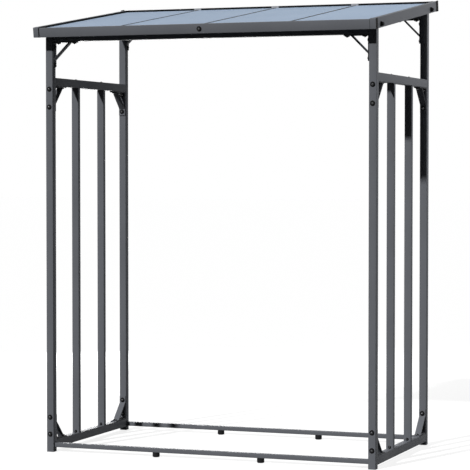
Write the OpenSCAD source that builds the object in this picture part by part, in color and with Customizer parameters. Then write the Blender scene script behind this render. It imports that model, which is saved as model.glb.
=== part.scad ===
// Free-standing log store: four tube posts, slatted ends, open front and back,
// and a lean-to roof that rises to the back.
// Millimetres, Z up, X across the width, +Y to the back.
// The origin is the middle of the footprint, on the ground.

/* [Frame] */
// Width over the outer faces of the posts
frame_w = 1392; // [1000:1:1800]
// Depth over the outer faces of the posts
frame_d = 757; // [560:1:850]
// Side of the square post tube
tube = 30; // [24:1:40]
// Wall of every tube
tube_wall = 1.5; // [1:0.1:3]
// Clearance between pieces that slide past each other
clear = 0.3; // [0.1:0.05:0.6]

/* [Side frames] */
// Height of the top and bottom rails of the side frames
side_rail_h = 33; // [24:1:50]
// Underside of the top side rail above the ground
top_rail_z = 1485; // [900:1:1500]
// Underside of the bottom side rail above the ground
bottom_rail_z = 15; // [8:1:60]
// Thickness of an upright slat, front to back
slat_t = 20; // [10:1:30]

/* [Base] */
// Height of the front and rear base rails
base_rail_h = 18; // [14:1:40]
// Depth of the base rails, front to back
base_rail_d = 22; // [15:1:24]
// Underside of the base rails, which is also the height of the feet
base_rail_z = 19; // [10:1:40]
// Diameter of a round foot
foot_d = 27; // [18:1:40]

/* [Corner brackets] */
// Length of each leg of a corner bracket
bracket_leg = 102; // [85:1:140]
// Where the diagonal of a bracket meets its legs
bracket_reach = 79; // [50:1:82]
// Thickness of the bracket strip
bracket_t = 4.5; // [2:0.5:8]
// Width of the bracket strip
bracket_w = 28; // [16:1:30]

/* [Roof] */
// Roof overhang at each side, from the outer face of the posts
roof_side = 19; // [12:1:23]
// Roof overhang at the front and the back, from the outer face of the posts
roof_over = 73.1; // [40:0.1:200]
// Roof pitch in degrees
roof_pitch = 8.4; // [5:0.1:14]
// Clear height from the top side rails to the lower front edge of the roof frame
roof_gap = 157; // [60:1:400]
// Drop of the headers below the underside of the roof frame
header_drop = 23; // [10:1:40]
// Height of the edge profile at the sides and the back
edge_h = 41; // [38:1:60]
// Wall of the edge profile
edge_wall = 2; // [1.5:0.1:3]
// Length of a corner connector arm
corner_arm = 24; // [23:1:60]
// Thickness of a roof sheet
sheet_t = 1.5; // [1:0.1:4]
// Top of the roof sheets below the top of the edge profile
sheet_drop = 7.5; // [5:0.5:16]
// Width of a joint strip between two roof sheets
strip_w = 12; // [10:1:30]
// Rise of a joint strip above the roof sheets
strip_rise = 1; // [1:0.5:4]
// Gap between the roof sheets and the top flange of the lower front edge profile
front_gap = 2.2; // [0.2:0.1:3]

/* [Hidden] */
$fn = 48;
half_w = frame_w / 2;
half_d = frame_d / 2;
inner_w = frame_w - 2 * tube;
inner_d = frame_d - 2 * tube;
slat_h = top_rail_z - bottom_rail_z - side_rail_h;
slat_step = frame_d / 6;
foot_x = inner_w / 6;
base_y = half_d - tube;
roof_w = frame_w + 2 * roof_side;
flange = roof_side - clear;
sheet_top = edge_h - sheet_drop;
sheet_low = sheet_top - sheet_t;
sheet_inset = edge_wall + clear;
sheet_step = roof_w / 4;
front_h = sheet_top + front_gap + edge_wall;
roof_l = (frame_d + 2 * roof_over) / cos(roof_pitch);
roof_z = top_rail_z + side_rail_h + roof_gap;
// Lower front edge of the roof frame, set so that the roof is centred over the footprint
roof_y = edge_h * sin(roof_pitch) / 2 - roof_l * cos(roof_pitch) / 2;
// Height of the underside of the roof frame over a place y
function roof_under(y) = roof_z + (y - roof_y) * tan(roof_pitch);
front_header_z = roof_under(-half_d) - header_drop;
rear_header_z = roof_under(half_d - tube) - header_drop;
post_max = roof_under(half_d) + edge_h;

coat = [0.25, 0.26, 0.28];
sheet_col = [0.55, 0.61, 0.68];
black = [0.05, 0.05, 0.05];

// Rectangular tube outline
module tube_outline(w, h) {
    difference() {
        square([w, h]);
        translate([tube_wall, tube_wall]) square([w - 2 * tube_wall, h - 2 * tube_wall]);
    }
}

// Tube along X with its low corner at the origin
module tube_x(len, d, h) {
    rotate([90, 0, 90]) linear_extrude(len) tube_outline(d, h);
}

// Tube along Y with its low corner at the origin
module tube_y(len, w, h) {
    translate([0, len, 0]) rotate([90, 0, 0]) linear_extrude(len) tube_outline(w, h);
}

// Tube along Z with its low corner at the origin
module tube_z(len, w, d) {
    linear_extrude(len) tube_outline(w, d);
}

// Moves its children into the tilted frame of the roof
module on_roof() {
    translate([0, roof_y, roof_z]) rotate([roof_pitch, 0, 0]) children();
}

// Post with its top cut along the slope, just under the roof sheets
module post(sx, sy) {
    x = sx < 0 ? -half_w : half_w - tube;
    y = sy < 0 ? -half_d : half_d - tube;
    color(coat) difference() {
        translate([x, y, 0]) tube_z(post_max, tube, tube);
        on_roof() translate([-roof_w, -roof_l, sheet_low - clear])
            cube([2 * roof_w, 3 * roof_l, edge_h + post_max]);
    }
}

module side_rail(sx, z) {
    x = sx < 0 ? -half_w : half_w - tube;
    color(coat) translate([x, -half_d + tube, z]) tube_y(inner_d, tube, side_rail_h);
}

module slat(sx, i) {
    x = sx < 0 ? -half_w : half_w - tube;
    color(coat) translate([x, i * slat_step - slat_t / 2, bottom_rail_z + side_rail_h])
        tube_z(slat_h, tube, slat_t);
}

module base_rail(sy) {
    y = sy < 0 ? -base_y - base_rail_d : base_y;
    color(coat) translate([-inner_w / 2, y, base_rail_z]) tube_x(inner_w, base_rail_d, base_rail_h);
}

module foot(sx, sy) {
    color(black) translate([sx * foot_x, sy * (base_y + base_rail_d / 2), 0])
        cylinder(h = base_rail_z, d = foot_d);
}

module header(sy) {
    y = sy < 0 ? -half_d : half_d - tube;
    z = sy < 0 ? front_header_z : rear_header_z;
    color(coat) translate([-inner_w / 2, y, z]) tube_x(inner_w, tube, tube);
}

// Bracket outline: two legs from one corner and the diagonal that joins them
module bracket_outline() {
    d = bracket_t * sqrt(2);
    square([bracket_leg, bracket_t]);
    square([bracket_t, bracket_leg]);
    polygon([
        [bracket_reach, 0], [0, bracket_reach],
        [0, bracket_reach - d], [bracket_reach - d, 0]
    ]);
}

// Bracket in the X-Z plane with its corner at the origin, legs along +X and +Z
module bracket_xz() {
    rotate([90, 0, 0]) linear_extrude(bracket_w, center = true) bracket_outline();
}

// Bracket under a header, against the inner face of a post
module header_bracket(sx, sy) {
    z = sy < 0 ? front_header_z : rear_header_z;
    color(coat) translate([sx * inner_w / 2, sy * (half_d - tube / 2), z])
        scale([-sx, 1, -1]) bracket_xz();
}

// Bracket between a side rail and the inner face of a post, in the Y-Z plane
module side_brace(sx, sy, top) {
    z = top ? top_rail_z : bottom_rail_z + side_rail_h;
    color(coat) translate([sx * (half_w - tube / 2), sy * inner_d / 2, z])
        scale([1, -sy, top ? -1 : 1]) rotate([0, 0, 90]) bracket_xz();
}

// Edge profile of the roof: web, bottom flange, ledge for the sheets and top flange
module edge_outline(h) {
    polygon([
        [0, 0], [flange, 0], [flange, edge_wall], [edge_wall, edge_wall],
        [edge_wall, sheet_low - edge_wall], [flange, sheet_low - edge_wall],
        [flange, sheet_low], [edge_wall, sheet_low],
        [edge_wall, h - edge_wall], [flange, h - edge_wall], [flange, h], [0, h]
    ]);
}

// Edge profile along X at the front, from x0 to x1
module edge_x(x0, x1, h) {
    translate([x0, 0, 0]) rotate([90, 0, 90]) linear_extrude(x1 - x0) edge_outline(h);
}

// Edge profile along the slope at the left side, from y0 to y1
module edge_y(y0, y1, h) {
    translate([-roof_w / 2, y1, 0]) rotate([90, 0, 0]) linear_extrude(y1 - y0) edge_outline(h);
}

module edge_front() {
    e = roof_w / 2 - corner_arm - clear;
    color(coat) on_roof() edge_x(-e, e, front_h);
}

module edge_back() {
    e = roof_w / 2 - corner_arm - clear;
    color(coat) on_roof() translate([0, roof_l, 0]) mirror([0, 1, 0]) edge_x(-e, e, edge_h);
}

module edge_side(sx) {
    color(coat) on_roof() scale([-sx, 1, 1])
        edge_y(corner_arm + clear, roof_l - corner_arm - clear, edge_h);
}

// Corner connector, made of two short arms of the edge profile
module corner(sx, sy) {
    color(coat) on_roof() translate([0, sy < 0 ? 0 : roof_l, 0]) scale([-sx, -sy, 1]) {
        edge_x(-roof_w / 2, -roof_w / 2 + corner_arm, edge_h);
        edge_y(0, corner_arm, edge_h);
    }
}

// Roof sheet i, counted from the left
module sheet(i) {
    x0 = -roof_w / 2 + i * sheet_step + (i == 0 ? sheet_inset : edge_wall / 2 + clear);
    x1 = -roof_w / 2 + (i + 1) * sheet_step - (i == 3 ? sheet_inset : edge_wall / 2 + clear);
    color(sheet_col) on_roof() translate([x0, sheet_inset, sheet_low])
        cube([x1 - x0, roof_l - 2 * sheet_inset, sheet_t]);
}

// Joint strip between sheets i and i + 1: cap, web and the flange under the sheets
module joint(i) {
    low = flange + clear;
    color(coat) on_roof() translate([-roof_w / 2 + i * sheet_step, 0, 0]) {
        translate([-strip_w / 2, low, sheet_top]) cube([strip_w, roof_l - 2 * low, strip_rise]);
        translate([-edge_wall / 2, sheet_inset, sheet_low])
            cube([edge_wall, roof_l - 2 * sheet_inset, sheet_t]);
        translate([-strip_w / 2, low, sheet_low - edge_wall])
            cube([strip_w, roof_l - 2 * low, edge_wall]);
    }
}

post(-1, -1);  // post_fl
post(1, -1);  // post_fr
post(-1, 1);  // post_rl
post(1, 1);  // post_rr
side_rail(-1, top_rail_z);  // top_rail_l
side_rail(1, top_rail_z);  // top_rail_r
side_rail(-1, bottom_rail_z);  // bottom_rail_l
side_rail(1, bottom_rail_z);  // bottom_rail_r
slat(-1, -1);  // slat_l1
slat(-1, 1);  // slat_l2
slat(1, -1);  // slat_r1
slat(1, 1);  // slat_r2
base_rail(-1);  // base_rail_f
base_rail(1);  // base_rail_r
foot(-1, -1);  // foot_fl
foot(1, -1);  // foot_fr
foot(-1, 1);  // foot_rl
foot(1, 1);  // foot_rr
header(-1);  // header_f
header(1);  // header_r
header_bracket(-1, -1);  // bracket_fl
header_bracket(1, -1);  // bracket_fr
header_bracket(-1, 1);  // bracket_rl
header_bracket(1, 1);  // bracket_rr
side_brace(-1, -1, true);  // brace_tfl
side_brace(-1, 1, true);  // brace_trl
side_brace(1, -1, true);  // brace_tfr
side_brace(1, 1, true);  // brace_trr
side_brace(-1, -1, false);  // brace_bfl
side_brace(-1, 1, false);  // brace_brl
side_brace(1, -1, false);  // brace_bfr
side_brace(1, 1, false);  // brace_brr
edge_front();  // edge_f
edge_back();  // edge_b
edge_side(-1);  // edge_l
edge_side(1);  // edge_r
corner(-1, -1);  // corner_fl
corner(1, -1);  // corner_fr
corner(-1, 1);  // corner_bl
corner(1, 1);  // corner_br
sheet(0);  // sheet_1
sheet(1);  // sheet_2
sheet(2);  // sheet_3
sheet(3);  // sheet_4
joint(1);  // joint_1
joint(2);  // joint_2
joint(3);  // joint_3
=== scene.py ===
import bpy
import bmesh
from math import cos, pi, radians, sin, tan
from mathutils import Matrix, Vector


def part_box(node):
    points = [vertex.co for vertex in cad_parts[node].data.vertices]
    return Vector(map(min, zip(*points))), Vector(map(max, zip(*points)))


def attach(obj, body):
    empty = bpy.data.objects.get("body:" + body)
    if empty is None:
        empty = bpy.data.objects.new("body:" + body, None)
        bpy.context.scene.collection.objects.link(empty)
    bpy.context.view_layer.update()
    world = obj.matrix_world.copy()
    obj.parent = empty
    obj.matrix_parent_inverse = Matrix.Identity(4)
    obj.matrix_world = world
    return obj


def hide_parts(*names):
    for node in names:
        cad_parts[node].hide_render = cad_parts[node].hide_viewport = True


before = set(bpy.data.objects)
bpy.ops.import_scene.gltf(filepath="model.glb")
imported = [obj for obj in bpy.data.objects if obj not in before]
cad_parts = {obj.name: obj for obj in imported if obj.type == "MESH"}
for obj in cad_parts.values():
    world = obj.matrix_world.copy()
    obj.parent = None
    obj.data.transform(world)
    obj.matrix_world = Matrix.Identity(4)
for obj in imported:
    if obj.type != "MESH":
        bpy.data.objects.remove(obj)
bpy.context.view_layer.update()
scene = bpy.context.scene
scene.view_settings.view_transform = "Standard"
print("frame loaded:", len(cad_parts), "nodes")

mm, perMetre = 0.001, 1000.0
store = {  # main lines of the frame, millimetres
    "halfWidth": 696.0, "halfDepth": 378.5, "tube": 30.0, "wall": 1.5,
    "topRail": 1485.0, "bottomRail": 15.0, "railHeight": 33.0,
    "slatAt": 757.0 / 6, "slatThick": 20.0,
}
roof = {  # the tilted roof frame, millimetres and degrees
    "width": 1430.0, "over": 73.1, "pitch": 8.4, "lowZ": 1675.0,
    "edge": 41.0, "frontEdge": 37.7, "wall": 2.0, "flange": 18.7, "arm": 24.0, "gap": 0.3,
    "sheets": 4, "sheetTop": 33.5, "sheetThick": 1.5,
    "stripWidth": 12.0, "stripRise": 1.0, "headerDrop": 23.0,
}
pitch = radians(roof["pitch"])
roof["length"] = 2 * (store["halfDepth"] + roof["over"]) / cos(pitch)  # down the slope
roofY = roof["edge"] * sin(pitch) / 2 - roof["length"] * cos(pitch) / 2
halfRoof = roof["width"] / 2
innerX = store["halfWidth"] - store["tube"]
innerY = store["halfDepth"] - store["tube"]
tubeMid = store["halfWidth"] - store["tube"] / 2
depthMid = store["halfDepth"] - store["tube"] / 2
topZ, bottomZ = store["topRail"], store["bottomRail"] + store["railHeight"]
sideSign = {"l": -1, "r": 1}
endSign = {"f": -1, "r": 1, "b": 1}  # front, and rear or back


def roofUnder(y):  # underside of the roof frame over a place y
    return roof["lowZ"] + (y - roofY) * tan(pitch)


def onRoof(x, u, v):  # a place across, up the slope and above it, in the shared frame
    return Vector((
        x,
        roofY + u * cos(pitch) - v * sin(pitch),
        roof["lowZ"] + u * sin(pitch) + v * cos(pitch),
    ))


def fromEnd(sy, u):  # a distance in from the front or the back of the roof
    return u if sy < 0 else roof["length"] - u


headerZ = {  # undersides of the front and back headers
    -1: roofUnder(-store["halfDepth"]) - roof["headerDrop"],
    1: roofUnder(innerY) - roof["headerDrop"],
}


# materials: a noise is given by scale and detail, a bump by strength and distance,
# and shades by their place on the noise

noiseSpan = (0.3, 0.7)  # most of a noise lies between these


def newMaterial(name):
    mat = bpy.data.materials.new(name)
    mat.use_nodes = True
    tree = mat.node_tree
    coords = tree.nodes.new("ShaderNodeTexCoord")
    return mat, tree, tree.nodes["Principled BSDF"], coords


def addNoise(tree, coords, scale, detail, stretch=(1, 1, 1)):
    mapping = tree.nodes.new("ShaderNodeMapping")
    mapping.inputs["Scale"].default_value = stretch
    noise = tree.nodes.new("ShaderNodeTexNoise")
    noise.inputs["Scale"].default_value = scale
    noise.inputs["Detail"].default_value = detail
    tree.links.new(coords.outputs["Object"], mapping.inputs["Vector"])
    tree.links.new(mapping.outputs["Vector"], noise.inputs["Vector"])
    return noise.outputs["Fac"]


def addRamp(tree, source, stops):
    ramp = tree.nodes.new("ShaderNodeValToRGB")
    points = ramp.color_ramp.elements
    while len(points) < len(stops):
        points.new(0.5)
    for point, (place, colour) in zip(points, stops):
        point.position = place
        point.color = (*colour, 1.0)
    tree.links.new(source, ramp.inputs["Fac"])
    return ramp.outputs["Color"]


def shade(colour, factor):
    return tuple(min(1.0, c * factor) for c in colour)


def addShades(tree, source, colour, stops):
    return addRamp(tree, source, [(place, shade(colour, factor)) for place, factor in stops])


def addRange(tree, source, low, high):
    node = tree.nodes.new("ShaderNodeMapRange")
    labels = ("From Min", "From Max", "To Min", "To Max")
    for label, value in zip(labels, (*noiseSpan, low, high)):
        node.inputs[label].default_value = value
    tree.links.new(source, node.inputs["Value"])
    return node.outputs["Result"]


def addBump(tree, shader, source, strength, distance, before=None):
    bump = tree.nodes.new("ShaderNodeBump")
    bump.inputs["Strength"].default_value = strength
    bump.inputs["Distance"].default_value = distance
    tree.links.new(source, bump.inputs["Height"])
    if before is not None:
        tree.links.new(before, bump.inputs["Normal"])
    tree.links.new(bump.outputs["Normal"], shader.inputs["Normal"])
    return bump.outputs["Normal"]


def addMultiply(tree, first, second, amount):
    mix = tree.nodes.new("ShaderNodeMix")
    mix.data_type = "RGBA"
    mix.blend_type = "MULTIPLY"
    mix.inputs[0].default_value = amount
    tree.links.new(first, mix.inputs[6])
    tree.links.new(second, mix.inputs[7])
    return mix.outputs[2]


coatLook = {
    "colour": (0.110, 0.115, 0.127), "jointTone": 0.15, "rough": (0.46, 0.60), "shine": 0.05,
    "cloud": (5.0, 4.0), "cloudShades": ((0.25, 0.93), (0.75, 1.07)),
    "speck": (900.0, 2.0), "speckTones": ((0.30, 0.86), (0.62, 1.0), (0.80, 1.12)),
    "speckAmount": 0.75, "peel": (520.0, 2.0), "peelBump": (0.35, 0.00022),
}


def makeCoat(name, colour):  # powder coat: fine orange peel, faint cloudy tone, sparse specks
    mat, tree, shader, coords = newMaterial(name)
    cloud = addNoise(tree, coords, *coatLook["cloud"])
    speck = addNoise(tree, coords, *coatLook["speck"])
    tone = addShades(tree, cloud, colour, coatLook["cloudShades"])
    grain = addRamp(tree, speck, [(place, (v, v, v)) for place, v in coatLook["speckTones"]])
    mixed = addMultiply(tree, tone, grain, coatLook["speckAmount"])
    tree.links.new(mixed, shader.inputs["Base Color"])
    tree.links.new(addRange(tree, cloud, *coatLook["rough"]), shader.inputs["Roughness"])
    addBump(tree, shader, addNoise(tree, coords, *coatLook["peel"]), *coatLook["peelBump"])
    shader.inputs["Specular IOR Level"].default_value = coatLook["shine"]
    return mat


sheetLook = {
    # pale blue-grey: partly the sheet's own colour, partly painted reflection of a pale sky
    "colour": (0.271, 0.348, 0.459), "rough": (0.48, 0.60), "shine": 0.07,
    "streak": (9.0, 4.0), "stretch": (9.0, 0.5, 0.5),
    "streakShades": ((0.25, 0.95), (0.75, 1.05)), "cloud": (3.2, 3.0),
    "patchTones": ((0.30, (0.95, 0.955, 0.96)), (0.72, (1.04, 1.035, 1.03))),
    "waveBump": (0.12, 0.004), "grain": (650.0, 2.0), "grainBump": (0.2, 0.0001),
}


def makeSheet():  # coated roof sheet: rolled streaks down the slope and a soft waviness; its pale blue-grey is partly painted reflection of the sky
    mat, tree, shader, coords = newMaterial("roofSheet")
    streak = addNoise(tree, coords, *sheetLook["streak"], sheetLook["stretch"])
    cloud = addNoise(tree, coords, *sheetLook["cloud"])
    tone = addShades(tree, streak, sheetLook["colour"], sheetLook["streakShades"])
    patch = addRamp(tree, cloud, sheetLook["patchTones"])
    tree.links.new(addMultiply(tree, tone, patch, 1.0), shader.inputs["Base Color"])
    tree.links.new(addRange(tree, streak, *sheetLook["rough"]), shader.inputs["Roughness"])
    wavy = addBump(tree, shader, cloud, *sheetLook["waveBump"])
    grain = addNoise(tree, coords, *sheetLook["grain"])
    addBump(tree, shader, grain, *sheetLook["grainBump"], wavy)
    shader.inputs["Specular IOR Level"].default_value = sheetLook["shine"]
    return mat


rubberLook = {  # moulded rubber: matt with a dusty bloom
    "colour": (0.007, 0.007, 0.0075), "shine": 0.12, "sealTone": 0.56, "sealShine": 0.06,
    "rough": (0.62, 0.82), "mottle": (60.0, 5.0), "shades": ((0.35, 1.0), (0.8, 2.0)),
    "grain": (1500.0, 2.0), "grainBump": (0.3, 0.00015),
}
boltLook = {  # blackened fastener with a thin oil film
    "colour": (0.008, 0.009, 0.011), "shine": 0.5,
    "rough": (0.21, 0.27), "mottle": (220.0, 3.0), "shades": ((0.3, 1.0), (0.75, 1.7)),
    "grain": (2200.0, 2.0), "grainBump": (0.15, 0.00008),
}


def makePlain(name, look, colour, shine):  # one tone with a soft mottle and a fine grain
    mat, tree, shader, coords = newMaterial(name)
    mottle = addNoise(tree, coords, *look["mottle"])
    tone = addShades(tree, mottle, colour, look["shades"])
    tree.links.new(tone, shader.inputs["Base Color"])
    tree.links.new(addRange(tree, mottle, *look["rough"]), shader.inputs["Roughness"])
    addBump(tree, shader, addNoise(tree, coords, *look["grain"]), *look["grainBump"])
    shader.inputs["Specular IOR Level"].default_value = shine
    return mat


coat = makeCoat("powderCoat", coatLook["colour"])
jointColour = shade(coatLook["colour"], coatLook["jointTone"])  # darker strips between the sheets
jointCoat = makeCoat("jointCoat", jointColour)
rubber = makePlain("footRubber", rubberLook, rubberLook["colour"], rubberLook["shine"])
sealColour = shade(rubberLook["colour"], rubberLook["sealTone"])  # clean black seals and caps
sealRubber = makePlain("sealRubber", rubberLook, sealColour, rubberLook["sealShine"])
sheetMat = makeSheet()
boltMat = makePlain("boltBlack", boltLook, boltLook["colour"], boltLook["shine"])
print("materials made")


# mesh helpers

smoothUpTo = {"tube": 40, "bracket": 35, "turned": 35, "trim": 30}  # degrees
mergeGap = 1e-6


def meshObject(name, bm, smooth):  # linked object, shaded smooth up to an angle
    mesh = bpy.data.meshes.new(name)
    bm.to_mesh(mesh)
    bm.free()
    for poly in mesh.polygons:
        poly.use_smooth = True
    mesh.set_sharp_from_angle(angle=radians(smoothUpTo[smooth]))
    obj = bpy.data.objects.new(name, mesh)
    scene.collection.objects.link(obj)
    return obj


def finishPiece(name, bm, materials, smooth, nodes=()):
    bmesh.ops.remove_doubles(bm, verts=bm.verts, dist=mergeGap)
    obj = meshObject(name, bm, smooth)
    for material in materials:
        obj.data.materials.append(material)
    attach(obj, "root")
    if nodes:
        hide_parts(*nodes)


def boxOf(node):  # low and high corner of a node in millimetres
    return [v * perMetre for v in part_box(node)]


def quarter(cx, cy, r, start, steps):  # points of a quarter turn from a start angle
    turns = [radians(start + 90 * i / steps) for i in range(steps + 1)]
    return [(cx + r * cos(a), cy + r * sin(a)) for a in turns]


def roundedLoop(w, h, r, steps=3):  # rounded rectangle with its low corner at 0, 0
    corners = ((w - r, r, -90), (w - r, h - r, 0), (r, h - r, 90), (r, r, 180))
    return [point for cx, cy, start in corners for point in quarter(cx, cy, r, start, steps)]


def bridge(bm, a, b):  # side faces between two loops of equal length
    n = len(a)
    for i in range(n):
        bm.faces.new((a[i], a[(i + 1) % n], b[(i + 1) % n], b[i]))


def stack(bm, rings):  # rings joined in a row and closed at both ends
    for a, b in zip(rings, rings[1:]):
        bridge(bm, a, b)
    bm.faces.new(list(reversed(rings[0])))
    bm.faces.new(rings[-1])


def outwards(bm):  # a closed mesh is turned so that its volume is positive
    bmesh.ops.recalc_face_normals(bm, faces=bm.faces)
    if bm.calc_volume(signed=True) < 0:
        bmesh.ops.reverse_faces(bm, faces=bm.faces)


def joinPart(bm, part):  # a closed part is turned outwards and added to its piece
    outwards(part)
    keep = {v: bm.verts.new(v.co) for v in part.verts}
    for f in part.faces:
        bm.faces.new([keep[v] for v in f.verts]).material_index = f.material_index
    part.free()


def sweep(bm, outline, ends, place):  # an outline run from one end to the other and closed
    part = bmesh.new()
    stack(part, [[part.verts.new(place(p, s, v) * mm) for p, v in outline] for s in ends])
    joinPart(bm, part)


# posts, rails, slats and cross tubes

tubeLook = {"corner": 1.5, "inside": 0.3, "steps": 3}
tubeAxes = {"z": (0, 1, 2), "x": (1, 2, 0), "y": (2, 0, 1)}  # across, across and along


def tubePiece(name, node, axis, cut=None):  # hollow tube with rolled corners in the node's box
    lo, hi = boxOf(node)
    p, q, run = tubeAxes[axis]
    w, h = hi[p] - lo[p], hi[q] - lo[q]
    wall, steps = store["wall"], tubeLook["steps"]
    outer = roundedLoop(w, h, tubeLook["corner"], steps)
    bore = roundedLoop(w - 2 * wall, h - 2 * wall, tubeLook["inside"], steps)
    inner = [(x + wall, y + wall) for x, y in bore]
    bm = bmesh.new()

    def ring(points, along):
        made = []
        for x, y in points:
            place = [0.0, 0.0, 0.0]
            place[p], place[q], place[run] = lo[p] + x, lo[q] + y, along
            if cut and along == hi[run]:
                place[2] = cut(place[1])
            made.append(bm.verts.new(Vector(place) * mm))
        return made

    o0, o1 = ring(outer, lo[run]), ring(outer, hi[run])
    i0, i1 = ring(inner, lo[run]), ring(inner, hi[run])
    for a, b in ((o0, o1), (i1, i0), (i0, o0), (o1, i1)):
        bridge(bm, a, b)
    outwards(bm)
    finishPiece(name, bm, [coat], "tube", [node])


def postTop(y):  # posts end just under the roof sheets
    v = roof["sheetTop"] - roof["sheetThick"] - roof["gap"]
    return roofUnder(y) + v / cos(pitch)


for node in ("post_fl", "post_fr", "post_rl", "post_rr"):
    tubePiece("post" + node[-2:].upper(), node, "z", postTop)
for node in ("top_rail_l", "top_rail_r", "bottom_rail_l", "bottom_rail_r"):
    tubePiece("sideRail." + node, node, "y")
for node in ("slat_l1", "slat_l2", "slat_r1", "slat_r2"):
    tubePiece("sideSlat." + node, node, "z")
for node in ("base_rail_f", "base_rail_r", "header_f", "header_r"):
    tubePiece("crossTube." + node, node, "x")
print("tubes made")


# corner brackets: a bent strip for the two legs and a welded diagonal

bracketLook = {
    "leg": 102.0, "reach": 79.0, "thick": 4.5, "width": 28.0, "bend": 6.0, "bendSteps": 4,
    "ease": 0.5, "weldDepth": 0.4, "weldNarrow": 2.0, "edgeTone": 0.3,
}
edgeColour = shade(coatLook["colour"], bracketLook["edgeTone"])  # the strips' edges are coloured darker than their faces
edgeCoat = makeCoat("edgeCoat", edgeColour)


def stripSolid(bm, outline, width, place):  # a flat outline given its width, with eased edges
    part = bmesh.new()
    low = [part.verts.new((x, -width / 2, z)) for x, z in outline]
    high = [part.verts.new((x, width / 2, z)) for x, z in outline]
    stack(part, [high, low])
    outwards(part)
    rims = [e for e in part.edges if abs(e.verts[0].co.y - e.verts[1].co.y) < mergeGap]
    bmesh.ops.bevel(part, geom=rims, offset=bracketLook["ease"], segments=2, profile=0.5,
                    affect="EDGES", clamp_overlap=True)
    part.normal_update()
    for f in part.faces:
        f.material_index = 1 if abs(f.normal.y) > 0.5 else 0  # the sheared edges of the strip
    for v in part.verts:
        v.co = place(v.co) * mm
    joinPart(bm, part)


def bracketPiece(name, node, place):
    t, leg, reach, bend, width = (
        bracketLook[k] for k in ("thick", "leg", "reach", "bend", "width"))
    outside = quarter(bend, bend, bend, 180, bracketLook["bendSteps"])
    inside = quarter(bend, bend, bend - t, 180, bracketLook["bendSteps"])
    legs = [(leg, 0.0), *reversed(outside), (0.0, leg), (t, leg), *inside, (leg, t)]
    skew = t * 2 ** 0.5
    low = t * bracketLook["weldDepth"]  # the diagonal ends inside the legs
    far = reach - low
    diagonal = [(far, low), (low, far), (low, far - skew), (far - skew, low)]
    bm = bmesh.new()
    stripSolid(bm, legs, width, place)
    stripSolid(bm, diagonal, width - bracketLook["weldNarrow"], place)
    finishPiece(name, bm, [coat, edgeCoat], "bracket", [node])


for node in ("bracket_fl", "bracket_fr", "bracket_rl", "bracket_rr"):
    sx, sy = sideSign[node[-1]], endSign[node[-2]]
    bracketPiece("headerBracket." + node[-2:], node, lambda c: Vector((
        sx * (innerX - c.x), sy * depthMid + c.y, headerZ[sy] - c.z)))
for node in ("brace_tfl", "brace_trl", "brace_tfr", "brace_trr",
             "brace_bfl", "brace_brl", "brace_bfr", "brace_brr"):
    sx, sy = sideSign[node[-1]], endSign[node[-2]]
    railZ, up = (topZ, -1) if node[-3] == "t" else (bottomZ, 1)
    bracketPiece("sideBrace." + node[-3:], node, lambda c: Vector((
        sx * tubeMid + c.y, sy * (innerY - c.x), railZ + up * c.z)))
print("brackets made")


# roof edge and corner connectors

edgeLook = {"corner": 1.6, "shoulder": 3.2, "steps": 3}
edgeSides = {  # a place by its distance in from the edge, along it and up
    "front": lambda p, s, v: onRoof(s, p, v),
    "back": lambda p, s, v: onRoof(s, roof["length"] - p, v),
    "left": lambda p, s, v: onRoof(-halfRoof + p, s, v),
    "right": lambda p, s, v: onRoof(halfRoof - p, s, v),
}


def edgeHeight(side):
    return roof["frontEdge"] if side == "front" else roof["edge"]


def edgeEnds(side, inset):  # where a run along one side starts and stops
    if side in ("front", "back"):
        return inset - halfRoof, halfRoof - inset
    return inset, roof["length"] - inset


def edgeOutline(height, top):  # web, flanges and ledge, with rolled outer corners
    w, f, r, steps = roof["wall"], roof["flange"], edgeLook["corner"], edgeLook["steps"]
    ledge = roof["sheetTop"] - roof["sheetThick"]
    points = [(f, 0.0), (f, w), (w, w), (w, ledge - w), (f, ledge - w), (f, ledge), (w, ledge),
              (w, height - w), (f, height - w), (f, height)]
    points += quarter(top, height - top, top, 90, steps)
    return points + quarter(r, r, r, 180, steps)


def cornerPiece(name, node, sx, sy):  # mitred corner of the same profile
    outline = edgeOutline(roof["edge"], edgeLook["shoulder"])
    arm = roof["arm"]
    bm = bmesh.new()

    def point(x, u, v):
        return bm.verts.new(onRoof(sx * (halfRoof - x), fromEnd(sy, u), v) * mm)

    stack(bm, [
        [point(arm, p, v) for p, v in outline],
        [point(p, p, v) for p, v in outline],
        [point(p, arm, v) for p, v in outline],
    ])
    outwards(bm)
    finishPiece(name, bm, [coat], "tube", [node])


for side, place in edgeSides.items():
    bm = bmesh.new()
    outline = edgeOutline(edgeHeight(side), edgeLook["corner"])
    sweep(bm, outline, edgeEnds(side, roof["arm"] + roof["gap"]), place)
    finishPiece("roofEdge." + side, bm, [coat], "tube", ["edge_" + side[0]])
for node in ("corner_fl", "corner_fr", "corner_bl", "corner_br"):
    cornerPiece("roofCorner." + node[-2:], node, sideSign[node[-1]], endSign[node[-2]])


# seals as painted shade, plugs, glazing strip with partly painted shade, and clips of the roof

# black seal bands: painted shade standing in for the shadow gaps at the corners
shadeSealLook = {"width": 5.0, "fainterShade": 1.3, "proud": 0.25}


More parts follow.
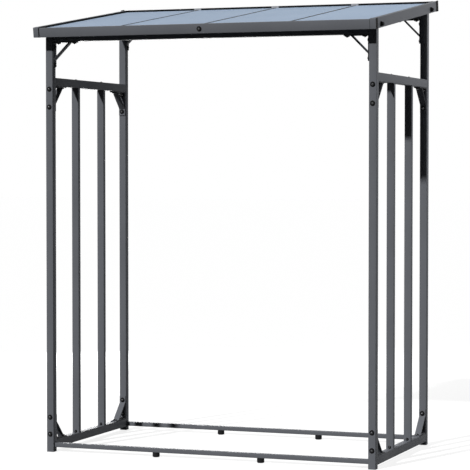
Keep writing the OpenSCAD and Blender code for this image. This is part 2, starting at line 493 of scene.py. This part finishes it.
def makeShadeSeals():  # dark seal between each corner connector and the edge profiles beside it: painted shade of a shadow gap
    bm = bmesh.new()
    f, out, middle = roof["flange"], shadeSealLook["proud"], roof["arm"] + roof["gap"] / 2
    for sx in (-1, 1):
        for sy in (-1, 1):
            for along in ("x", "y"):
                fainterShade = (sx, sy, along) == (1, -1, "x")  # narrower at the front right, where the painted shade of the gap is fainter
                half = shadeSealLook["fainterShade" if fainterShade else "width"] / 2
                h = roof["frontEdge"] if along == "x" and sy < 0 else roof["edge"]
                band = [(-out, -out), (f, -out), (f, out), (out, out),
                        (out, h - out), (f, h - out), (f, h + out), (-out, h + out)]

                def place(p, s, v):
                    x, u = (middle + s, p) if along == "x" else (p, middle + s)
                    return onRoof(sx * (halfRoof - x), fromEnd(sy, u), v)

                sweep(bm, band, (-half, half), place)
    finishPiece("roofSeals", bm, [sealRubber], "trim")


plugLook = {  # front and back: width, height and foot
    "front": (22.4, 39.4, 0.8), "back": (35.0, 44.5, -0.5),
    "inset": 0.6, "root": 0.6, "out": 0.8, "lip": 0.4, "ease": 0.5, "corner": 2.0,
}


def makePlugs():  # dark plugs in the open ends of the front and back profiles
    bm = bmesh.new()
    root, out, lip, ease = (plugLook[k] for k in ("root", "out", "lip", "ease"))
    for sx in (-1, 1):
        for end, sy in (("front", -1), ("back", 1)):
            wide, tall, foot = plugLook[end]
            u = fromEnd(sy, plugLook["inset"] + wide / 2)
            part = bmesh.new()
            rings = []
            for inset, off in ((0.0, -root), (0.0, out - lip), (ease, out)):
                ring = []
                for x, y in roundedLoop(wide, tall, plugLook["corner"]):
                    du = (x - wide / 2) * (1 - 2 * inset / wide)
                    dv = (y - tall / 2) * (1 - 2 * inset / tall)
                    point = onRoof(sx * (halfRoof + off), u + du, foot + tall / 2 + dv)
                    ring.append(part.verts.new(point * mm))
                rings.append(ring)
            stack(part, rings)
            joinPart(bm, part)
    finishPiece("roofPlugs", bm, [sealRubber], "trim")


# the black lip over the flange edges is partly painted shade
glazingShadeLook = {"lip": 0.8, "tuck": 3.0, "top": 0.3, "sink": 0.1, "clear": 0.05, "ease": 0.4}


def makeGlazingShade():  # black strip between the sheets and the inner edges of the top flanges: partly a real glazing strip, partly painted shade that darkens the flange edges
    bm = bmesh.new()
    tuck, clear, ease = (glazingShadeLook[k] for k in ("tuck", "clear", "ease"))
    f, low = roof["flange"], roof["sheetTop"] - glazingShadeLook["sink"]
    lip = f + glazingShadeLook["lip"]
    for side, place in edgeSides.items():
        height = edgeHeight(side)
        under, top = height - roof["wall"] - clear, height - glazingShadeLook["top"]
        outline = [(f - tuck, low), (lip, low), (lip, top - ease), (lip - ease, top),
                   (f + clear, top), (f + clear, under), (f - tuck, under)]
        sweep(bm, outline, edgeEnds(side, f), place)
    finishPiece("roofGlazing", bm, [sealRubber], "trim")


clipLook = {  # pale moulded plastic
    "width": 32.0, "thick": 1.6, "lap": 6.0, "rise": 0.9, "ease": 0.5, "clear": 0.02, "lift": 0.05,
    "colour": (0.29, 0.294, 0.31), "shine": 0.15,
    "rough": (0.45, 0.6), "mottle": (80.0, 3.0), "shades": ((0.3, 0.95), (0.7, 1.05)),
    "grain": (1200.0, 2.0), "grainBump": (0.2, 0.0001),
}


def jointX(i):  # middle of a joint, counted from the left
    return -halfRoof + i * roof["width"] / roof["sheets"]


def makeClips():  # pale clips that hold the upper ends of the joint strips at the back profile
    bm = bmesh.new()
    ease, half = clipLook["ease"], clipLook["width"] / 2
    back = roof["flange"] + glazingShadeLook["lip"] + clipLook["clear"]
    front, lap = back + clipLook["thick"], roof["flange"] - clipLook["lap"]
    low, rest = roof["sheetTop"] + clipLook["lift"], roof["edge"] + clipLook["clear"]
    top = roof["edge"] + clipLook["rise"]
    outline = [(front, low), (front, top - ease), (front - ease, top), (lap, top), (lap, rest),
               (back, rest), (back, low)]
    for i in range(1, roof["sheets"]):
        sweep(bm, outline, (jointX(i) - half, jointX(i) + half), edgeSides["back"])
    pale = makePlain("clipPale", clipLook, clipLook["colour"], clipLook["shine"])
    finishPiece("jointClips", bm, [pale], "trim")


makeShadeSeals()
makePlugs()
makeGlazingShade()
makeClips()

stripLook = {"crown": 0.25, "edge": 0.4}


def jointPiece(name, node, x):  # crowned cap over a web and the flange below the sheets
    top, low = roof["sheetTop"], roof["sheetTop"] - roof["sheetThick"]
    half, w, peak = roof["stripWidth"] / 2, roof["wall"], top + roof["stripRise"]
    crown, e = stripLook["crown"], stripLook["edge"]
    cap = [(-half, top), (half, top), (half, peak - e - crown), (half - e, peak - crown)]
    cap += [(half * k, peak - crown * k * k) for k in (0.5, 0.0, -0.5)]
    cap += [(-half + e, peak - crown), (-half, peak - e - crown)]
    web = [(-w / 2, low), (w / 2, low), (w / 2, top), (-w / 2, top)]
    flange = [(-half, low - w), (half, low - w), (half, low), (-half, low)]
    onLedge, onWeb = roof["flange"] + roof["gap"], roof["wall"] + roof["gap"]
    bm = bmesh.new()
    for outline, start in ((cap, onLedge), (web, onWeb), (flange, onLedge)):
        ends = (start, roof["length"] - start)
        sweep(bm, outline, ends, lambda p, s, v: onRoof(x + p, s, v))
    finishPiece(name, bm, [jointCoat], "trim", [node])


for i in range(1, roof["sheets"]):
    jointPiece("roofJoint.%d" % i, "joint_%d" % i, jointX(i))
print("roof frame made")


# moulded feet

footLook = {
    "spread": 0.9, "round": 4.6, "roundSteps": 5, "flange": 2.4, "groove": 0.6, "edge": 0.4,
    "steps": 32,
}


def hexRadius(flat, a):  # distance to the side of a hexagon at an angle
    return flat / cos(((a + pi / 6) % (pi / 3)) - pi / 6)


def lathe(rows, steps, centre=(0.0, 0.0)):  # rows of radius, height and whether hexagonal
    bm = bmesh.new()
    rings = []
    for r, z, six in rows:
        ring = []
        for i in range(steps):
            a = 2 * pi * i / steps
            reach = hexRadius(r, a) if six else r
            point = Vector((centre[0] + reach * cos(a), centre[1] + reach * sin(a), z))
            ring.append(bm.verts.new(point * mm))
        rings.append(ring)
    stack(bm, rings)
    outwards(bm)
    return bm


def footPiece(name, node):  # black plug with a rounded tread and a thin flange under the rail
    lo, hi = boxOf(node)
    r, h = (hi.x - lo.x) / 2 + footLook["spread"], hi.z
    tread, g, e = (footLook[k] for k in ("round", "groove", "edge"))
    seat = h - footLook["flange"]
    profile = quarter(r - tread, tread, tread, -90, footLook["roundSteps"])
    profile += [(r, seat - 2 * g), (r - g, seat - g), (r - g, seat), (r, seat + g / 2),
                (r, h - e), (r - e, h)]
    centre = ((lo.x + hi.x) / 2, (lo.y + hi.y) / 2)
    bm = lathe([(x, z, False) for x, z in profile], footLook["steps"], centre)
    finishPiece(name, bm, [rubber], "turned", [node])


for node in ("foot_fl", "foot_fr", "foot_rl", "foot_rr"):
    footPiece("foot" + node[-2:].upper(), node)
print("feet made")


# fasteners: collars, heads, nuts and cap nuts, set out by geometry nodes

turnedSteps = 24
boltSize = {
    "collar": 10.2, "rim": 1.0, "crown": 3.9, "collarSteps": 5, "lap": 1.0,
    "dome": 5.0, "slope": 60.0, "sink": 0.3, "side": 0.5, "domeSteps": 8, "flatTop": 0.6,
}
washerSize = {"rim": 1.0, "thick": 1.4, "ease": 0.3, "step": 0.05, "chamfer": 0.5}
nutSize = {
    "washer": 9.0, "flats": 6.6, "rise": 6.6, "chamfer": 0.93,
    "thread": 3.0, "threadOut": 1.6, "threadEase": 0.5,
}
capSize = {
    "washer": 10.4, "flats": 8.4, "shoulder": 7.0, "dome": 8.0, "rise": 13.0,
    "curve": ((0.97, 0.30), (0.84, 0.62), (0.58, 0.88), (0.25, 1.0)),  # shares of width, height
}


def pattern(name, rows):
    return meshObject(name, lathe(rows, turnedSteps), "turned")


def boltCollar():  # broad, rounded black collar under the head
    c, d, rim, top = (boltSize[k] for k in ("collar", "dome", "rim", "crown"))
    rows = [(c, 0.0, False)]
    for i in range(boltSize["collarSteps"] + 1):
        a = pi / 2 * i / boltSize["collarSteps"]
        rows.append((d + (c - d) * cos(a), rim + (top - rim) * sin(a), False))
    return pattern("collarPattern", rows + [(d - boltSize["lap"], top, False)])


def boltHead():  # small dome in the middle of the collar
    d, slope, steps = boltSize["dome"], radians(boltSize["slope"]), boltSize["domeSteps"]
    foot = boltSize["crown"] - boltSize["sink"]
    ball = d / sin(slope)
    rows = [(d, foot, False)]
    for i in range(steps):
        a = slope * (1 - i / (steps - boltSize["flatTop"]))
        z = foot + boltSize["side"] + ball * (cos(a) - cos(slope))
        rows.append((ball * sin(a), z, False))
    return pattern("headPattern", rows)


def washerAndFlats(washer, flats, top):  # round washer and the flats of a nut on it
    thick = washerSize["thick"]
    return [(washer, 0.0, False), (washer, washerSize["rim"], False),
            (washer - washerSize["ease"], thick, False),
            (flats, thick + washerSize["step"], True), (flats, top - washerSize["chamfer"], True)]


def nutBody():  # plain nut with the end of its thread
    f, h, t, ease = (nutSize[k] for k in ("flats", "rise", "thread", "threadEase"))
    tip = h + nutSize["threadOut"]
    rows = washerAndFlats(nutSize["washer"], f, h)
    rows += [(f * nutSize["chamfer"], h, False), (t, h, False), (t, tip, False),
             (t - ease, tip + ease, False)]
    return pattern("nutPattern", rows)


def capNut():  # closed nut on the roof's sides
    s, d = capSize["shoulder"], capSize["dome"]
    up = capSize["rise"] - s
    rows = washerAndFlats(capSize["washer"], capSize["flats"], s) + [(d, s, False)]
    rows += [(d * wide, s + up * high, False) for wide, high in capSize["curve"]]
    return pattern("capPattern", rows)


def fastenerTree(name):  # sets one pattern on every point, turned to its aim
    tree = bpy.data.node_groups.new(name, "GeometryNodeTree")
    for label, kind in (("Points", "Geometry"), ("Pattern", "Object"), ("Size", "Float"),
                        ("Seed", "Int"), ("Finish", "Material")):
        tree.interface.new_socket(name=label, in_out="INPUT", socket_type="NodeSocket" + kind)
    tree.interface.new_socket(
        name="Fasteners", in_out="OUTPUT", socket_type="NodeSocketGeometry")
    nodes, link = tree.nodes, tree.links.new
    into, out = nodes.new("NodeGroupInput"), nodes.new("NodeGroupOutput")
    shape = nodes.new("GeometryNodeObjectInfo")
    aim = nodes.new("GeometryNodeInputNamedAttribute")
    aim.data_type = "FLOAT_VECTOR"
    aim.inputs["Name"].default_value = "aim"
    align = nodes.new("FunctionNodeAlignRotationToVector")
    align.axis = "Z"
    setOut = nodes.new("GeometryNodeInstanceOnPoints")
    spin = nodes.new("FunctionNodeRandomValue")
    spin.data_type = "FLOAT"
    spin.inputs[3].default_value = 2 * pi
    turn = nodes.new("ShaderNodeCombineXYZ")
    rotate = nodes.new("GeometryNodeRotateInstances")
    real = nodes.new("GeometryNodeRealizeInstances")
    finish = nodes.new("GeometryNodeSetMaterial")
    link(into.outputs["Pattern"], shape.inputs["Object"])
    link(aim.outputs["Attribute"], align.inputs["Vector"])
    link(into.outputs["Points"], setOut.inputs["Points"])
    link(shape.outputs["Geometry"], setOut.inputs["Instance"])
    link(align.outputs["Rotation"], setOut.inputs["Rotation"])
    link(into.outputs["Size"], setOut.inputs["Scale"])
    link(into.outputs["Seed"], spin.inputs["Seed"])
    link(spin.outputs[1], turn.inputs["Z"])
    link(setOut.outputs["Instances"], rotate.inputs["Instances"])
    link(turn.outputs["Vector"], rotate.inputs["Rotation"])
    link(rotate.outputs["Instances"], real.inputs["Geometry"])
    link(real.outputs["Geometry"], finish.inputs["Geometry"])
    link(into.outputs["Finish"], finish.inputs["Material"])
    link(finish.outputs["Geometry"], out.inputs["Fasteners"])
    return tree


def setFasteners(name, tree, shape, places, size, seed, finish):
    mesh = bpy.data.meshes.new(name + "Points")
    mesh.from_pydata([tuple(Vector(p) * mm) for p, _ in places], [], [])
    aims = mesh.attributes.new("aim", "FLOAT_VECTOR", "POINT")
    for i, (_, a) in enumerate(places):
        aims.data[i].vector = a
    obj = bpy.data.objects.new(name + "Points", mesh)
    scene.collection.objects.link(obj)
    mod = obj.modifiers.new("set", "NODES")
    mod.node_group = tree
    values = {"Pattern": shape, "Size": size, "Seed": seed, "Finish": finish}
    for item in tree.interface.items_tree:
        if item.item_type == "SOCKET" and item.in_out == "INPUT" and item.name in values:
            mod[item.identifier] = values[item.name]
    depsgraph = bpy.context.evaluated_depsgraph_get()
    made = bpy.data.meshes.new_from_object(obj.evaluated_get(depsgraph))
    obj.modifiers.remove(mod)
    bpy.data.objects.remove(obj)
    made.name = name
    piece = bpy.data.objects.new(name, made)
    scene.collection.objects.link(piece)
    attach(piece, "root")


boltPlan = {  # where the fasteners sit, millimetres
    "postTop": (1471.6, 1399.5), "postLow": {-1: (141.8, 72.6), 1: (133.0, 72.6)},
    "legs": (20.0, 88.0), "headerLegs": (20.7, 91.5), "slatFoot": 6.3,
    "roofSide": (67.0, 791.0), "roofSideUp": 14.6, "size": 1.0, "slatSize": 0.60,
}


def fastenerPlaces():  # each place is a point and the way the fastener faces
    heads, nuts, caps, small = [], [], [], []
    t = bracketLook["thick"]
    for sx in (-1, 1):
        x = sx * tubeMid
        for sy in (-1, 1):
            front, back = sorted((sy * store["halfDepth"], sy * (innerY - t)))
            for z in boltPlan["postTop"] + boltPlan["postLow"][sy]:  # posts, heads to the front
                heads.append(((x, front, z), (0, -1, 0)))
                nuts.append(((x, back, z), (0, 1, 0)))
            for d in boltPlan["legs"]:  # side braces to their rails
                heads.append(((x, sy * (innerY - d), topZ - t), (0, 0, -1)))
                heads.append(((x, sy * (innerY - d), bottomZ + t), (0, 0, 1)))
            for d in boltPlan["headerLegs"]:  # header brackets, both legs
                y, z = sy * depthMid, headerZ[sy]
                heads.append(((sx * (innerX - d), y, z - t), (0, 0, -1)))
                heads.append(((sx * (innerX - t), y, z - d), (-sx, 0, 0)))
            y, faceY = sy * store["slatAt"], sy * store["slatAt"] - store["slatThick"] / 2
            small.append(((x, y, topZ + store["railHeight"]), (0, 0, 1)))  # slats to the rails
            small.append(((x, y, store["bottomRail"]), (0, 0, -1)))
            small.append(((x, faceY, bottomZ + boltPlan["slatFoot"]), (0, -1, 0)))
        for u in boltPlan["roofSide"]:  # roof edge to the post heads
            caps.append((onRoof(sx * halfRoof, u, boltPlan["roofSideUp"]), (sx, 0, 0)))
    down = Vector((0, -cos(pitch), -sin(pitch)))
    heads.append((onRoof(0, 0, roof["frontEdge"] / 2), down))
    heads.append((onRoof(0, roof["length"], roof["edge"] / 2), -down))
    return heads, nuts, caps, small


collar, head, nut, cap = boltCollar(), boltHead(), nutBody(), capNut()
headPlaces, nutPlaces, capPlaces, smallPlaces = fastenerPlaces()
fasteners = fastenerTree("setFasteners")
size, slatSize = boltPlan["size"], boltPlan["slatSize"]
for name, shape, places, scale, seed, finish, slotName in (
        ("boltCollars", collar, headPlaces, size, 3, sealRubber, "foot"),
        ("slatCollars", collar, smallPlaces, slatSize, 2, sealRubber, "foot"),
        ("boltHeads", head, headPlaces, size, 7, boltMat, "bolt"),
        ("slatBolts", head, smallPlaces, slatSize, 5, boltMat, "bolt"),
        ("boltNuts", nut, nutPlaces, size, 11, boltMat, "bolt"),
        ("roofCapNuts", cap, capPlaces, size, 13, sealRubber, "foot")):
    setFasteners(name, fasteners, shape, places, scale, seed, finish)
for shape in (collar, head, nut, cap):
    bpy.data.objects.remove(shape)
print("fasteners set:", len(headPlaces) + len(smallPlaces), "heads,",
      len(nutPlaces) + len(capPlaces), "nuts")


# the roof sheets keep their solids and get their finish

finishes = {"sheet": sheetMat, "foot": rubber}
for node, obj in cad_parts.items():
    obj.data.materials.clear()
    obj.data.materials.append(finishes.get(node.split("_")[0], coat))
print("finishes assigned")


# floor, light and camera

stageLook = {
    "floorSize": 60.0, "floor": 0.25, "bounce": 0.04, "glow": 0.805, "ambient": 0.03,
    "sun": 4.1, "sunAngle": 2.0, "sunAhead": (0.47, 1.39, -1.0),  # from the front left
}
lampLook = {  # soft lamps: power, size, place and what they aim at
    "fill": (37.0, 0.9, (2.6, 0.5, 2.3), (0, 0, 1.1)),
    "back": (150.0, 2.2, (-2.4, 3.6, 1.3), (0, 0, 0.9)),
}
cameraLook = {
    "place": (2.8886, -7.6906, 1.1575), "yaw": 20.726, "pitch": -1.949,
    "lens": 153.31, "sensor": 36.0,
}


def seenRays(tree):  # 1 for what the camera, a reflection or clear material sees
    path = tree.nodes.new("ShaderNodeLightPath")
    total = path.outputs["Is Camera Ray"]
    for ray in ("Is Glossy Ray", "Is Transmission Ray"):
        more = tree.nodes.new("ShaderNodeMath")
        more.operation = "MAXIMUM"
        tree.links.new(total, more.inputs[0])
        tree.links.new(path.outputs[ray], more.inputs[1])
        total = more.outputs["Value"]
    return total


def makeFloor():  # pale ground, lit up to plain white where the camera sees it out of the shadow
    mesh = bpy.data.meshes.new("floor")
    s = stageLook["floorSize"]
    mesh.from_pydata([(-s, -s, 0), (s, -s, 0), (s, s, 0), (-s, s, 0)], [], [(0, 1, 2, 3)])
    obj = bpy.data.objects.new("floor", mesh)
    scene.collection.objects.link(obj)
    mat = bpy.data.materials.new("paleFloor")
    mat.use_nodes = True
    tree = mat.node_tree
    tree.nodes.clear()
    seen = seenRays(tree)
    level = tree.nodes.new("ShaderNodeMath")
    level.operation = "MULTIPLY"
    level.inputs[1].default_value = stageLook["glow"]
    tone = tree.nodes.new("ShaderNodeMapRange")  # seen pale, but throws little light back up
    tone.inputs["To Min"].default_value = stageLook["bounce"]
    tone.inputs["To Max"].default_value = stageLook["floor"]
    ground = tree.nodes.new("ShaderNodeBsdfDiffuse")
    glow = tree.nodes.new("ShaderNodeEmission")
    both = tree.nodes.new("ShaderNodeAddShader")
    out = tree.nodes.new("ShaderNodeOutputMaterial")
    link = tree.links.new
    link(seen, level.inputs[0])
    link(seen, tone.inputs["Value"])
    link(tone.outputs["Result"], ground.inputs["Color"])
    link(level.outputs["Value"], glow.inputs["Strength"])
    link(ground.outputs["BSDF"], both.inputs[0])
    link(glow.outputs["Emission"], both.inputs[1])
    link(both.outputs["Shader"], out.inputs["Surface"])
    mesh.materials.append(mat)


def makeWorld():  # soft white surround; what the camera and reflections see is plain white
    world = bpy.data.worlds.new("studio")
    scene.world = world
    world.use_nodes = True
    tree = world.node_tree
    tree.nodes.clear()
    mix = tree.nodes.new("ShaderNodeMixShader")
    out = tree.nodes.new("ShaderNodeOutputWorld")
    tree.links.new(seenRays(tree), mix.inputs["Fac"])
    for i, strength in ((1, stageLook["ambient"]), (2, 1.0)):
        light = tree.nodes.new("ShaderNodeBackground")
        light.inputs["Color"].default_value = (1.0, 1.0, 1.0, 1.0)
        light.inputs["Strength"].default_value = strength
        tree.links.new(light.outputs["Background"], mix.inputs[i])
    tree.links.new(mix.outputs["Shader"], out.inputs["Surface"])


def addAimed(name, data, place, ahead):  # a light or camera that looks along a direction
    obj = bpy.data.objects.new(name, data)
    obj.location = place
    obj.rotation_mode = "QUATERNION"
    obj.rotation_quaternion = Vector(ahead).to_track_quat("-Z", "Y")
    scene.collection.objects.link(obj)
    return obj


def makeLights():
    sun = bpy.data.lights.new("sun", "SUN")
    sun.energy = stageLook["sun"]
    sun.angle = radians(stageLook["sunAngle"])
    addAimed("sun", sun, (0, 0, 0), stageLook["sunAhead"])
    for name, (power, width, place, aim) in lampLook.items():
        lamp = bpy.data.lights.new(name, "AREA")
        lamp.energy = power
        lamp.size = width
        obj = addAimed(name, lamp, place, Vector(aim) - Vector(place))
        obj.visible_camera = False


def makeCamera():
    cam = bpy.data.cameras.new("camera")
    cam.sensor_width = cameraLook["sensor"]
    cam.lens = cameraLook["lens"]
    yaw, dip = radians(cameraLook["yaw"]), radians(cameraLook["pitch"])
    ahead = (-sin(yaw) * cos(dip), cos(yaw) * cos(dip), sin(dip))
    scene.camera = addAimed("camera", cam, cameraLook["place"], ahead)


makeFloor()
makeWorld()
makeLights()
makeCamera()
print("floor, light and camera set")
